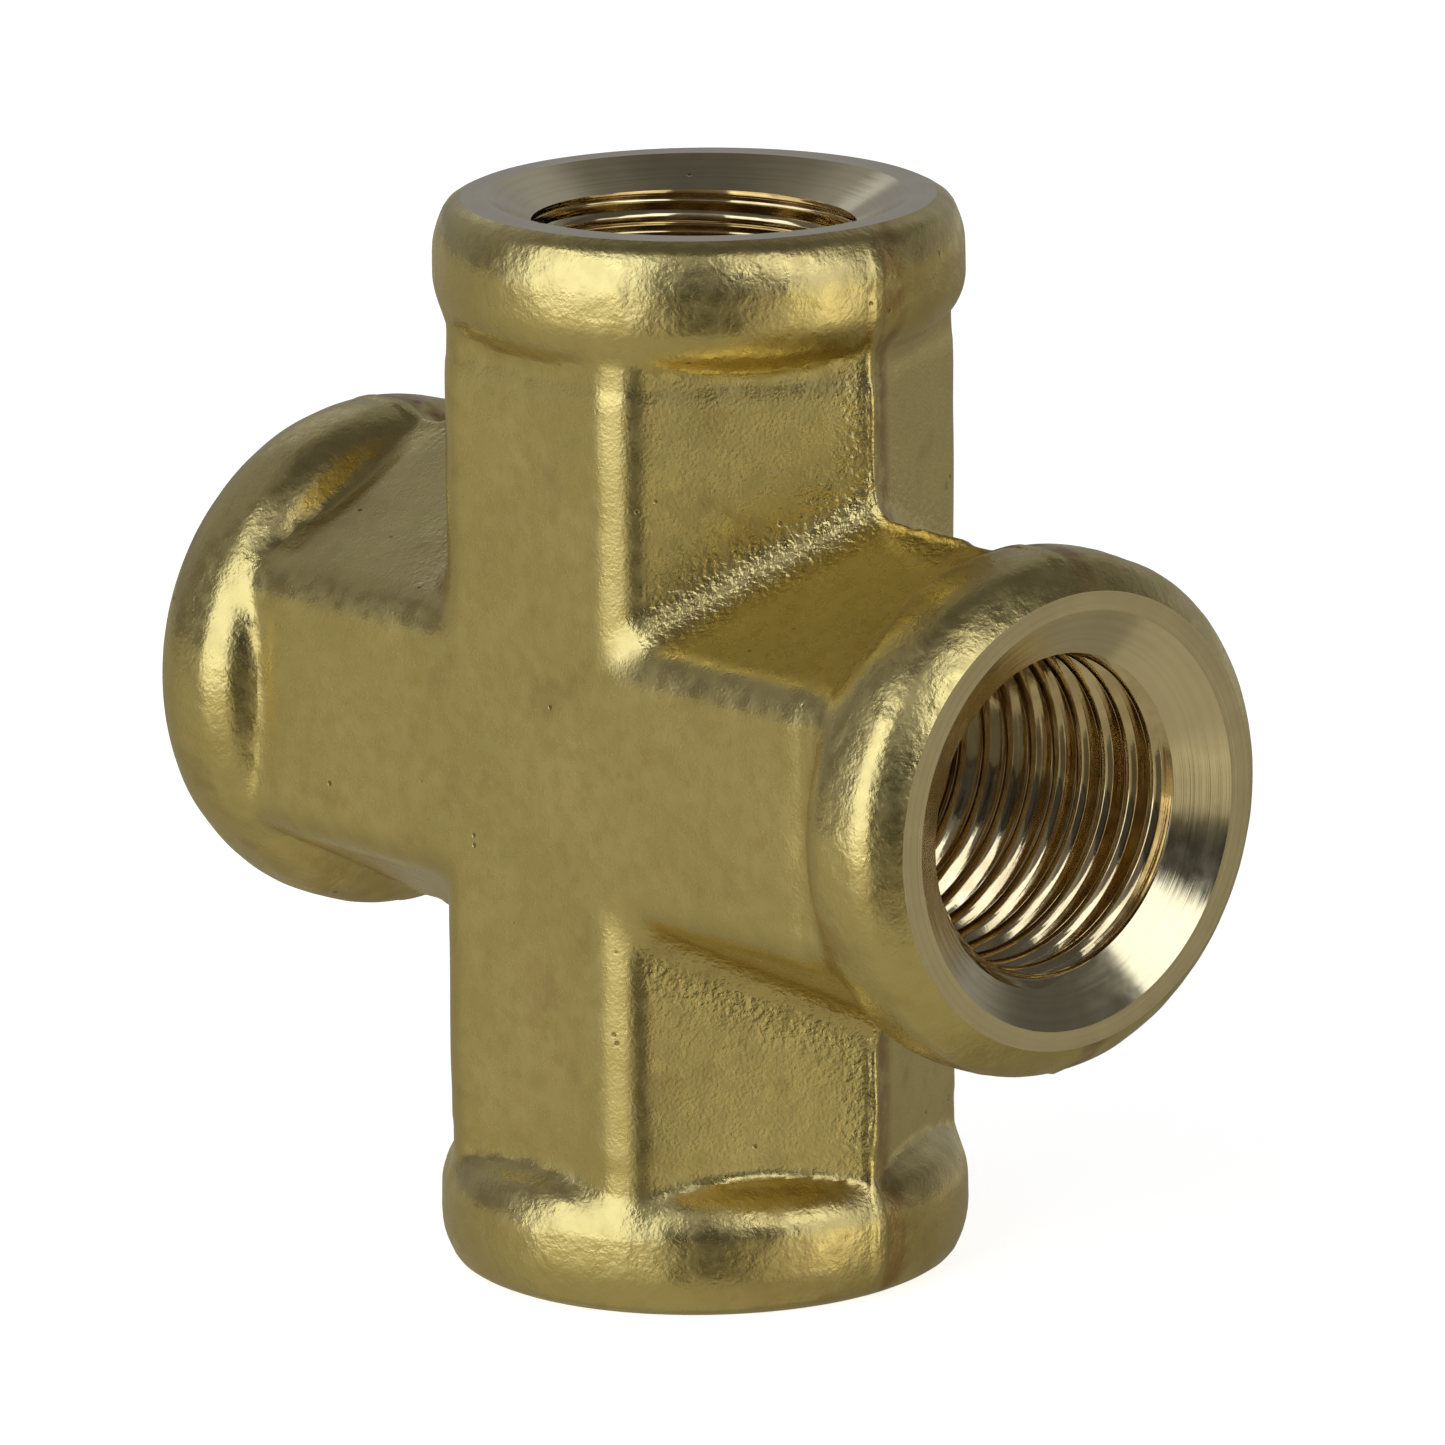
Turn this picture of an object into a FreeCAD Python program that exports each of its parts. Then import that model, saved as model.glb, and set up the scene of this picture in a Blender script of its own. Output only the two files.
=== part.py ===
"""Forged brass cross fitting with four 1/8-27 NPT female ports.

Millimetres, +Z up. The origin is where the two bore axes cross. The arms lie
along +X, -X, +Z and -Z, and the forging dies part on the plane Y = 0.
The fitting is one forging, so it is one solid: cross_body.
"""
import FreeCAD
import Part
import math
import os

Vector = FreeCAD.Vector
AXIS_X = Vector(1, 0, 0)
AXIS_Y = Vector(0, 1, 0)
AXIS_Z = Vector(0, 0, 1)
ORIGIN = Vector(0, 0, 0)
FULL_TURN = 360.0
QUARTER_TURN = 90.0

# Overall size
CENTRE_TO_FACE = 15.0        # from the crossing point to each port's face

# Six-sided arms, the same section on all four
FLAT_Y = 6.4                 # the front and back flats lie at Y = +/- this
FLAT_HALF_WIDTH = 3.6        # half the width of those flats, before rounding
CORNER_OUT = 6.9             # from the arm's axis to its corner on the parting plane
RIDGE_R = 1.4                # rounding where a flat meets a slanted side
PARTING_R = 0.15             # rounding of the corner on the parting plane
INNER_R_PARTING = 0.7        # inside corner between two arms, on the parting plane
INNER_R_FLAT = 1.1           # the same corner where it reaches the flats
ARM_INTO_COLLAR = 1.0        # each arm stops this far behind its port's face
ARM_END = CENTRE_TO_FACE - ARM_INTO_COLLAR

# Collar on each end; distances are measured back from the port's face. The
# radii hold along Y. Across the arm the collar is a little narrower, because
# the forging dies don't quite close.
COLLAR_R = 7.45
COLLAR_ACROSS = 0.973        # its size across the arm, over its size along Y
FACE_EDGE_R = 6.6            # outer edge of the machined face
BREAK_BACK = 0.18            # that edge slopes back to here, where the nose begins
BREAK_R = 7.03
NOSE_BACK = 1.5              # the nose has rounded up to full size here
CROWN_BACK = 2.1             # end of the full-size crown
TAIL_BACK = 3.25             # end of the rounding behind the crown
TAIL_R = 7.0
TAIL_END_BACK = 4.05         # the tail has sunk under every side of the arm here
TAIL_END_R = 5.7
FACING_STOCK = 0.2           # forged past the port's face, then faced off

# 1/8-27 NPT, right handed
PITCH = 25.4 / 27.0
TAPER = 1.0 / 32.0           # change of radius per millimetre of depth
PITCH_LINE_R = 9.489 / 2.0   # at the face
THREAD_HEIGHT = 0.8 * PITCH
MAJOR_R = PITCH_LINE_R + THREAD_HEIGHT / 2.0
MINOR_R = PITCH_LINE_R - THREAD_HEIGHT / 2.0
FLANK_ANGLE = 30.0           # each flank, from the plane across the axis
THREAD_FROM = 5.1            # thread's inner end, from the crossing point
GROOVE_DEPTH = 0.80          # swept V, deep enough to stand inside the bore

# Bores
TAP_DRILL_R = 8.61 / 2.0     # 0.339 in drill
TAP_DRILL_FROM = 4.5         # full drill diameter starts here, from the crossing point
CORE_R = 3.9                 # passage drilled right through on both axes
CORE_REACH = 13.0            # the core drills stop inside the wider holes
DRILL_POINT_HALF = 59.0      # half of the drill's 118 degree point
REAM_DEPTH = (MINOR_R - TAP_DRILL_R) / TAPER
CHAMFER_R = 5.75             # countersink's outer edge, on the face
CHAMFER_HALF = 60.0          # half of the countersink's 120 degrees
PAST_FACE = 1.0              # how far a cutter runs out past the face

# Turn about Y, in degrees, that brings the +Z port to each port in use
PORT_TURNS = {
    "top": 0.0,
    "right": 90.0,
    "bottom": 180.0,
    "left": 270.0,
}

SAME = 0.01                  # two heights closer than this are the same


def closed_loop(edges):
    """One wire from edges given in any order."""
    return Part.Wire(Part.__sortEdges__(edges))


def turned(shape, angle):
    """Copy of a +Z port's shape, turned to another port."""
    copy = shape.copy()
    copy.rotate(ORIGIN, AXIS_Y, angle)
    return copy


def plus_outline(half_width, inner_radius, y):
    """Plus-shaped wire at height y, with its four inside corners rounded."""
    near = half_width + inner_radius
    arc_middle = half_width + inner_radius * (1.0 - math.sqrt(0.5))
    edges = []
    for quarter in range(4):
        turn = FreeCAD.Rotation(AXIS_Y, QUARTER_TURN * quarter)
        end_low = turn.multVec(Vector(ARM_END, y, -half_width))
        end_high = turn.multVec(Vector(ARM_END, y, half_width))
        arc_start = turn.multVec(Vector(near, y, half_width))
        arc_through = turn.multVec(Vector(arc_middle, y, arc_middle))
        arc_end = turn.multVec(Vector(half_width, y, near))
        next_end = turn.multVec(Vector(half_width, y, ARM_END))
        edges.append(Part.makeLine(end_low, end_high))
        edges.append(Part.makeLine(end_high, arc_start))
        edges.append(Part.Arc(arc_start, arc_through, arc_end).toShape())
        edges.append(Part.makeLine(arc_end, next_end))
    return closed_loop(edges)


def half_arms(side):
    """The four arms on one side of the parting plane, narrowing to the flat."""
    base = plus_outline(CORNER_OUT, INNER_R_PARTING, 0.0)
    top = plus_outline(FLAT_HALF_WIDTH, INNER_R_FLAT, side * FLAT_Y)
    return Part.makeLoft([base, top], True, True)


def long_edges(body, height):
    """Edges along the arms that lie at Y = +/- height, leaving out the arms' ends."""
    found = []
    for edge in body.Edges:
        box = edge.BoundBox
        centre = edge.CenterOfMass
        level = box.YMax - box.YMin < SAME
        at_height = abs(abs(centre.y) - height) < SAME
        at_arm_end = max(abs(centre.x), abs(centre.z)) > ARM_END - SAME
        if level and at_height and not at_arm_end:
            found.append(edge)
    return found


def arms():
    """All four six-sided arms, with their long edges rounded."""
    body = half_arms(1.0).fuse(half_arms(-1.0)).removeSplitter()
    body = body.makeFillet(RIDGE_R, long_edges(body, FLAT_Y))
    return body.makeFillet(PARTING_R, long_edges(body, 0.0))


def collar_point(back, radius):
    """Point of the +Z collar's profile."""
    return Vector(radius, 0, CENTRE_TO_FACE - back)


def crown_arc(crown_back, back, radius):
    """Arc that leaves the crown smoothly and ends at the given profile point."""
    run = back - crown_back
    drop = COLLAR_R - radius
    arc_r = (run * run + drop * drop) / (2.0 * drop)
    middle_drop = arc_r - math.sqrt(arc_r * arc_r - run * run / 4.0)
    start = collar_point(crown_back, COLLAR_R)
    middle = collar_point(crown_back + run / 2.0, COLLAR_R - middle_drop)
    end = collar_point(back, radius)
    return Part.Arc(start, middle, end).toShape()


def collar():
    """Bead of the +Z port, faced off, as a solid with no hole yet."""
    break_slope = (BREAK_R - FACE_EDGE_R) / BREAK_BACK
    stock_axis = collar_point(-FACING_STOCK, 0.0)
    stock_edge = collar_point(-FACING_STOCK, FACE_EDGE_R - FACING_STOCK * break_slope)
    break_end = collar_point(BREAK_BACK, BREAK_R)
    nose_end = collar_point(NOSE_BACK, COLLAR_R)
    crown_end = collar_point(CROWN_BACK, COLLAR_R)
    tail = collar_point(TAIL_BACK, TAIL_R)
    tail_end = collar_point(TAIL_END_BACK, TAIL_END_R)
    tail_axis = collar_point(TAIL_END_BACK, 0.0)
    edges = [
        Part.makeLine(stock_axis, stock_edge),
        Part.makeLine(stock_edge, break_end),
        crown_arc(NOSE_BACK, BREAK_BACK, BREAK_R),
        Part.makeLine(nose_end, crown_end),
        crown_arc(CROWN_BACK, TAIL_BACK, TAIL_R),
        Part.makeLine(tail, tail_end),
        Part.makeLine(tail_end, tail_axis),
        Part.makeLine(tail_axis, stock_axis),
    ]
    bead = Part.Face(closed_loop(edges)).revolve(ORIGIN, AXIS_Z, FULL_TURN)
    squeeze = FreeCAD.Matrix()
    squeeze.scale(Vector(COLLAR_ACROSS, 1.0, 1.0))
    bead = bead.transformGeometry(squeeze)
    # Facing leaves a true plane, which the squeezed surface isn't.
    corner = Vector(-CENTRE_TO_FACE, -CENTRE_TO_FACE, CENTRE_TO_FACE)
    facing = Part.makeBox(2.0 * CENTRE_TO_FACE, 2.0 * CENTRE_TO_FACE, 1.0, corner)
    return bead.cut(facing)


def port_cutter():
    """Tap-drilled, reamed and countersunk hole of the +Z port."""
    shoulder = (TAP_DRILL_R - CORE_R) / math.tan(math.radians(DRILL_POINT_HALF))
    slope = math.tan(math.radians(CHAMFER_HALF))
    # The reamed cone and the countersink meet where both have the same radius.
    chamfer_depth = (CHAMFER_R - MINOR_R) / (slope - TAPER)
    steps = (
        (TAP_DRILL_FROM - shoulder, 0.0),
        (TAP_DRILL_FROM - shoulder, CORE_R),
        (TAP_DRILL_FROM, TAP_DRILL_R),
        (CENTRE_TO_FACE - REAM_DEPTH, TAP_DRILL_R),
        (CENTRE_TO_FACE - chamfer_depth, MINOR_R - chamfer_depth * TAPER),
        (CENTRE_TO_FACE + PAST_FACE, CHAMFER_R + PAST_FACE * slope),
        (CENTRE_TO_FACE + PAST_FACE, 0.0),
    )
    points = [Vector(radius, 0, distance) for distance, radius in steps]
    profile = Part.Face(Part.makePolygon(points + points[:1]))
    # Four quarter turns, so each crest left by the thread is a short face.
    first = profile.revolve(ORIGIN, AXIS_Z, QUARTER_TURN)
    others = []
    for quarter in range(1, 4):
        piece = first.copy()
        piece.rotate(ORIGIN, AXIS_Z, QUARTER_TURN * quarter)
        others.append(piece)
    return first.multiFuse(others)


def thread_cutter():
    """Swept V groove of the +Z port, widening towards the mouth."""
    taper_angle = math.degrees(math.atan(TAPER))
    length = CENTRE_TO_FACE - THREAD_FROM
    crest_r = MAJOR_R - length * TAPER
    base_r = crest_r - GROOVE_DEPTH
    half_width = GROOVE_DEPTH * math.tan(math.radians(FLANK_ANGLE))
    path = Part.makeLongHelix(PITCH, length, base_r, taper_angle)
    path.translate(Vector(0, 0, THREAD_FROM))
    corners = [
        Vector(base_r, 0, THREAD_FROM - half_width),
        Vector(crest_r, 0, THREAD_FROM),
        Vector(base_r, 0, THREAD_FROM + half_width),
    ]
    profile = Part.makePolygon(corners + corners[:1])
    return Part.Wire(path.Edges).makePipeShell([profile], True, True)


def cross():
    """The whole fitting: forging first, then the holes, then the threads."""
    body = arms()
    bead = collar()
    for angle in PORT_TURNS.values():
        body = body.fuse(turned(bead, angle))
    body = body.removeSplitter()
    start_z = Vector(0, 0, -CORE_REACH)
    start_x = Vector(-CORE_REACH, 0, 0)
    core_z = Part.makeCylinder(CORE_R, 2.0 * CORE_REACH, start_z, AXIS_Z)
    core_x = Part.makeCylinder(CORE_R, 2.0 * CORE_REACH, start_x, AXIS_X)
    body = body.cut(core_z.fuse(core_x))
    for cutter in (port_cutter(), thread_cutter()):
        for angle in PORT_TURNS.values():
            body = body.cut(turned(cutter, angle))
    return body.Solids[0]


os.makedirs("parts", exist_ok=True)
cross_body = cross()
cross_body.exportStep("parts/cross_body.step")
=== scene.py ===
"""Forged brass cross fitting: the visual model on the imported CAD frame.

The body is one closed mesh. Each of its four arms is a grid of columns round
the arm's axis by rows along it, and the four grids meet on the mitre planes
|x| = |z|. Sizes are in millimetres until the mesh is made, then in metres.
"""
import math

import bmesh
import bpy
import numpy as np
from mathutils import Matrix, Vector


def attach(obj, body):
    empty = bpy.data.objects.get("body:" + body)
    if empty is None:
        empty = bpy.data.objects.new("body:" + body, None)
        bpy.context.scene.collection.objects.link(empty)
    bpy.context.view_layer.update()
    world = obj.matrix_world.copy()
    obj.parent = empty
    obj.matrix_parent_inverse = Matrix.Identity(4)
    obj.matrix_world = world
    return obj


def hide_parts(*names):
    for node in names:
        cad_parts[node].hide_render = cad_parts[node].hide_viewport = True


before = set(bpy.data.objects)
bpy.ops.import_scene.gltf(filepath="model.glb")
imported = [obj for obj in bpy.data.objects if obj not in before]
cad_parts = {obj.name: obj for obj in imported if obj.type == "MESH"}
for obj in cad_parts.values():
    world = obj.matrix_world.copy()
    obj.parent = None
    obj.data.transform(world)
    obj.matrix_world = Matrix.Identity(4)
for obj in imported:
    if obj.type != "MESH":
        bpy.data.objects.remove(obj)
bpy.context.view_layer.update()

MM = 0.001

# --- sizes shared with the CAD model, in millimetres ------------------------
CENTRE_TO_FACE = 15.0
FLAT_Y = 6.4
FLAT_HALF_WIDTH = 3.6
CORNER_OUT = 6.9
COLLAR_R = 7.45
COLLAR_ACROSS = 0.973
FACE_EDGE_R = 6.6
NOSE_BACK = 1.5
NOSE_ARC_R = 2.3             # the forged nose, before the facing cut
NOSE_EDGE_RISE = 2.4         # how steeply it falls to the face's edge
NOSE_EDGE_BLEND = 0.25
BEVEL_EDGE_R = 6.45          # the right collar's nose is nearly a straight bevel
BEVEL_RISE = 1.50
BEVEL_CURVE = 0.45
BEVEL_BLEND = 0.28
CROWN_BACK = 2.1
BEVEL_CURVE_TO = CROWN_BACK / 2.0   # the bevel's curve is worked out as far as this
TAIL_BACK = 3.25
TAIL_R = 7.0
TAIL_END_BACK = 4.05
TAIL_END_R = 5.7
PITCH = 25.4 / 27.0
TAPER = 1.0 / 32.0
PITCH_LINE_R = 9.489 / 2.0
THREAD_HEIGHT = 0.8 * PITCH
MAJOR_R = PITCH_LINE_R + THREAD_HEIGHT / 2.0
MINOR_R = PITCH_LINE_R - THREAD_HEIGHT / 2.0
THREAD_FROM = 5.1
TAP_DRILL_R = 8.61 / 2.0
TAP_DRILL_FROM = 4.5
CORE_R = 3.9
DRILL_POINT_SLOPE = math.tan(math.radians(59.0))
CHAMFER_R = 5.75
CHAMFER_SLOPE = math.tan(math.radians(60.0))

# --- rounding and forging detail of the visual body, in millimetres ---------
RIDGE_BLEND = 0.82           # rounds the edge between a flat and a slanted side
VALLEY_BLEND = 0.95          # fills the valley between two arms
PARTING_BLEND = 0.10         # the die corner is nearly sharp
COLLAR_BLEND = 0.30          # fillet where a collar's tail meets the arm
COLLAR_STEEPNESS = 0.8       # keeps the two distances comparable on the tail
COLLAR_REACH = 1.0           # the collar is left out this far past its tail
BEVEL_LEAN = 0.5             # the bevelled collar's region narrows towards the centre
ARM_END_BACK = 1.2           # the arm's sides stop inside the collar here
FAR_AWAY = 9.0
FLASH_HEIGHT = 0.105         # trimmed flash left standing on the parting plane
FLASH_HALF_WIDTH = 0.25
FLASH_EDGE = 0.22            # its sides slope over this
FLASH_FADE_BACK = 0.4        # the flash ends this far behind the port's face
FLASH_FULL_BACK = 1.6        # and has its full height from here
FLASH_RAGGED_SIZE = 0.45     # its height varies over this length
FLASH_RAGGED = 0.22
FLASH_WAVER_SIZE = 0.8       # and its width over this one
FLASH_WAVER = 0.25
LUMPS = (                    # size, depth and noise seed of the skin's lumps
    (3.1, 0.024, 1),
    (1.25, 0.014, 2),
)
FINE_LUMP_SIZE = 0.52
FINE_LUMP_DEPTH = 0.002
FINE_LUMP_COLLAR_DEPTH = 0.009   # more where the collars were beaten
SKIN_INSET = 0.035           # keeps the lumps inside the die's true shape
LEAST_INSET = 0.002
COLLAR_SKIN_FADE = 0.4       # the collar's skin runs out over this, past its tail
FACE_RUN_IN = 0.5            # lumps grow from nothing over this, behind the face
JUNCTION_BACK = 3.75         # tarnish gathers where a collar meets the arm
JUNCTION_WIDTH = 0.42
VALLEY_WIDTH = 0.8           # and along the valleys between the arms
SPARKLE_WIDTH = 1.5          # which are beaten rough on both sides
THREAD_FADE_TURNS = 0.6      # the first turn's groove deepens over this
WAVE_DEPTH = 0.85            # worn crests and roots leave this much of the depth
CREST_BREADTH = 1.45         # above 1, the crests are broader than the roots
MOUTH_FADE_FROM = 1.7        # the groove grows shallower over these depths,
MOUTH_FADE_TO = 0.6          # so that it meets the countersink in one clean edge
MOUTH_KEEP = 0.60
MOUTH_STEPS = 26

# --- where the skin is stained, beaten and rough -----------------------------
PATCH_SIZE = 1.7
STREAK_SIZE = 0.6
SLANT_CLEAR = 0.1            # a slanted side starts this far below the flat,
SLANT_FULL = 0.9             # and is fully under way here
JUNCTION_STAIN = 0.10
VALLEY_STAIN = 0.38
COLLAR_STAIN = 0.40
COLLAR_STAIN_EDGE_Y = 6.0    # the collars' stain grows towards the parting plane
COLLAR_STAIN_FULL_Y = 3.5
FLASH_STAIN = 0.75           # one side of the flash has a brown strip beside it
FLASH_STAIN_PATCHY = 0.25
FLASH_STAIN_FROM = (0.15, 0.30)
FLASH_STAIN_TO = (1.35, 0.80)
BEATEN_FROM = 0.6            # the beaten skin starts this far past the junction
BEATEN_TO = 0.5
BEATEN_VALLEY = 0.6
ROUGH_NEAR_FLASH = 0.55
ROUGH_FLASH_FROM = 1.3
ROUGH_FLASH_TO = 0.3
ROUGH_FLASH_LESS_ON_COLLAR = 0.6
ROUGH_COLLAR = 0.12

# --- grid -------------------------------------------------------------------
INNER_COLUMNS = 128
OUTER_QUARTER = 64
OUTER_COLUMNS = 4 * OUTER_QUARTER
NOSE_ROWS = 9
NOSE_ROW_CROWDING = 1.8      # rows crowd towards the face's edge
CROWN_ROWS = 2
TAIL_ROWS = 13
ARM_ROWS = 24
TAIL_SPAN_END = 4.35         # where the collar's rows end and the arm's begin
ARM_ROW_CROWDING = 0.35      # rows crowd towards the valley
CORE_ROWS = 4
COUNTERSINK_ROWS = 3
THREAD_ROWS_PER_TURN = 8
MERGE_MM = 0.0012
SOLVE_STEPS = 34
SOLVE_LOW_R = 4.8
SOLVE_HIGH_R = 11.0
ANGLE_SAMPLES = 9001
PARTING_CROWDING = 5.0       # columns crowd at the parting plane,
PARTING_SPREAD = 1.6         # within about this many degrees of it,
RIDGE_CROWDING = 1.2         # and less closely at the ridges
RIDGE_SPREAD = 6.0
LIP_WIDTH = 0.12             # ring where the two column counts meet
EARLY_TURNS = 2              # rows start this many turns early, then are clamped
SHARP_ANGLE = math.radians(25.0)

SLOT_FORGED = 0
SLOT_MACHINED = 1
SLOT_THREAD = 2
SLOT_CORE = 3

# large odd factors, and shifts, that mix a lattice point into one number
HASH_AXES = (73856093, 19349663, 83492791)
HASH_SEED = 2654435761
HASH_ROUNDS = ((13, 1274126177), (11, 668265263))
HASH_LAST_SHIFT = 15
HASH_MASK = 0x7FFFFFFF


# --- noise ------------------------------------------------------------------
def lattice_value(cell, seed):
    """Repeatable value in -1..1 for each whole-number lattice point."""
    mixed = seed * HASH_SEED
    for axis, factor in enumerate(HASH_AXES):
        mixed = mixed ^ (cell[..., axis] * factor)
    mixed = mixed & HASH_MASK
    for shift, factor in HASH_ROUNDS:
        mixed = (mixed ^ (mixed >> shift)) * factor & HASH_MASK
    mixed = mixed ^ (mixed >> HASH_LAST_SHIFT)
    return mixed / float(HASH_MASK // 2) - 1.0


def smooth_noise(points, size, seed):
    """Smooth noise of the given feature size, in -1..1."""
    scaled = points / size
    base = np.floor(scaled).astype(np.int64)
    part = scaled - base
    blend = part * part * (3.0 - 2.0 * part)
    total = np.zeros(points.shape[:-1])
    for corner in range(8):
        offset = np.array([corner & 1, (corner >> 1) & 1, (corner >> 2) & 1])
        weight = np.prod(np.where(offset == 1, blend, 1.0 - blend), axis=-1)
        total += weight * lattice_value(base + offset, seed)
    return total


def smooth_step(low, high, value):
    """0 at low, 1 at high, level at both ends; low may be the larger one."""
    part = np.clip((value - low) / (high - low), 0.0, 1.0)
    return part * part * (3.0 - 2.0 * part)


def smooth_min(a, b, width):
    """Smaller of a and b, rounded where they are closer than width."""
    near = np.clip(width - np.abs(a - b), 0.0, None) / width
    return np.minimum(a, b) - near * near * width * 0.25


def smooth_max(a, b, width):
    """Larger of a and b, rounded where they are closer than width."""
    return -smooth_min(-a, -b, width)


# --- forged outside ---------------------------------------------------------
def collar_radius(back, bevelled):
    """Radius of the round collar at a distance behind the port's face.

    bevelled is 1 for the nose that is nearly a straight bevel, 0 for the rest.
    """
    tail_run = TAIL_BACK - CROWN_BACK
    tail_drop = COLLAR_R - TAIL_R
    tail_r = (tail_run ** 2 + tail_drop ** 2) / (2.0 * tail_drop)
    into_nose = np.clip(NOSE_BACK - back, 0.0, NOSE_BACK)
    into_tail = np.clip(back - CROWN_BACK, 0.0, tail_run)
    nose = COLLAR_R - NOSE_ARC_R + np.sqrt(NOSE_ARC_R ** 2 - into_nose ** 2)
    nose = smooth_min(nose, FACE_EDGE_R + NOSE_EDGE_RISE * back, NOSE_EDGE_BLEND)
    bevel_back = np.minimum(back, BEVEL_CURVE_TO)
    bevel = BEVEL_EDGE_R + (BEVEL_RISE - BEVEL_CURVE * bevel_back) * bevel_back
    bevel = smooth_min(bevel, COLLAR_R, BEVEL_BLEND)
    nose = nose + (bevel - nose) * bevelled
    tail = COLLAR_R - tail_r + np.sqrt(tail_r ** 2 - into_tail ** 2)
    slope = (TAIL_END_R - TAIL_R) / (TAIL_END_BACK - TAIL_BACK)
    sunk = TAIL_R + slope * (back - TAIL_BACK)
    radius = np.where(back < NOSE_BACK, nose, tail)
    return np.where(back > TAIL_BACK, sunk, radius)


def forged_distance(world, arm_axis_distance, arm_radius):
    """Signed distance, roughly, from the forged skin; negative inside.

    world is the point in the object's frame, arm_axis_distance its distance
    along the arm from the centre and arm_radius its distance from the axis.
    """
    x = np.abs(world[..., 0])
    y = np.abs(world[..., 1])
    z = np.abs(world[..., 2])
    across = CORNER_OUT - FLAT_HALF_WIDTH
    side_length = math.hypot(FLAT_Y, across)
    reach = CORNER_OUT * FLAT_Y / side_length
    parting = np.sqrt(y * y + PARTING_BLEND ** 2) - PARTING_BLEND
    upright = (x * FLAT_Y + parting * across) / side_length - reach
    level = (z * FLAT_Y + parting * across) / side_length - reach
    flat = y - FLAT_Y
    arms = smooth_min(upright, level, VALLEY_BLEND)
    arms = smooth_max(arms, flat, RIDGE_BLEND)
    back = CENTRE_TO_FACE - arm_axis_distance
    arms = np.where(back < ARM_END_BACK, FAR_AWAY, arms)
    sideways = 1.0 - (y / arm_radius) ** 2
    across_squeeze = 1.0 - (1.0 - COLLAR_ACROSS) * sideways
    right_arm = smooth_step(TAP_DRILL_R, FLAT_Y, world[..., 0] - z * BEVEL_LEAN)
    ring = collar_radius(back, right_arm) * across_squeeze
    collar = (arm_radius - ring) * COLLAR_STEEPNESS
    collar = np.where(back > TAIL_END_BACK + COLLAR_REACH, FAR_AWAY, collar)
    body = smooth_min(arms, collar, COLLAR_BLEND)
    return body + skin_relief(world, y, back)


def skin_relief(world, y, back):
    """How far the skin stands in (+) or out (-) from the die's true shape."""
    relief = 0.0
    for size, depth, seed in LUMPS:
        relief = relief + depth * smooth_noise(world, size, seed)
    on_collar = smooth_step(TAIL_END_BACK + COLLAR_SKIN_FADE, TAIL_END_BACK, back)
    fine_depth = FINE_LUMP_DEPTH + FINE_LUMP_COLLAR_DEPTH * on_collar
    relief = relief + fine_depth * smooth_noise(world, FINE_LUMP_SIZE, seed=3)
    ragged = smooth_noise(world, FLASH_RAGGED_SIZE, seed=5)
    waver = smooth_noise(world, FLASH_WAVER_SIZE, seed=6)
    edge = FLASH_HALF_WIDTH * (1.0 + FLASH_WAVER * waver)
    flash = FLASH_HEIGHT * (1.0 + FLASH_RAGGED * ragged)
    flash = flash * smooth_step(edge, edge - FLASH_EDGE, y)
    flash = flash * smooth_step(FLASH_FADE_BACK, FLASH_FULL_BACK, back)
    from_face = smooth_step(0.0, FACE_RUN_IN, back)
    collar_inset = np.maximum(relief + SKIN_INSET - flash, LEAST_INSET)
    inset = on_collar * collar_inset + (1.0 - on_collar) * (relief - flash)
    return inset * from_face


# --- machined inside --------------------------------------------------------
def crest_radius(distance):
    """Radius of the thread's crests: the tap drill's, or the taper's if larger."""
    reamed = MINOR_R - (CENTRE_TO_FACE - distance) * TAPER
    return np.maximum(TAP_DRILL_R, reamed)


def root_radius(distance):
    """Radius of the thread's sharp roots."""
    return MAJOR_R - (CENTRE_TO_FACE - distance) * TAPER


def bore_radius(angle, distance):
    """Radius of the threaded hole at each angle and distance, short of the mouth."""
    turn = (distance - THREAD_FROM) / PITCH - angle / (2.0 * math.pi)
    along = (distance - THREAD_FROM) / PITCH
    present = smooth_step(0.0, THREAD_FADE_TURNS, along)
    depth = CENTRE_TO_FACE - distance
    near_mouth = smooth_step(MOUTH_FADE_FROM, MOUTH_FADE_TO, depth)
    present = present * (1.0 - (1.0 - MOUTH_KEEP) * near_mouth)
    crest = crest_radius(distance)
    groove = WAVE_DEPTH * (root_radius(distance) - crest) * present
    wave = 0.5 + 0.5 * np.cos(2.0 * math.pi * turn)
    wall = crest + groove * wave ** CREST_BREADTH
    shoulder = CORE_R + (distance - shoulder_start()) * DRILL_POINT_SLOPE
    return np.minimum(wall, np.maximum(shoulder, CORE_R))


def mouth_distance(angle):
    """Distance at which the countersink meets the thread, for each angle."""
    low = np.full(angle.shape, CENTRE_TO_FACE - MOUTH_FADE_FROM)
    high = np.full(angle.shape, CENTRE_TO_FACE)
    for _ in range(MOUTH_STEPS):
        middle = (low + high) * 0.5
        cone = CHAMFER_R - (CENTRE_TO_FACE - middle) * CHAMFER_SLOPE
        in_thread = cone < bore_radius(angle, middle)
        low = np.where(in_thread, middle, low)
        high = np.where(in_thread, high, middle)
    return (low + high) * 0.5


def shoulder_start():
    """Distance at which the drill's point has cut the passage's full width."""
    return TAP_DRILL_FROM - (TAP_DRILL_R - CORE_R) / DRILL_POINT_SLOPE


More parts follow.
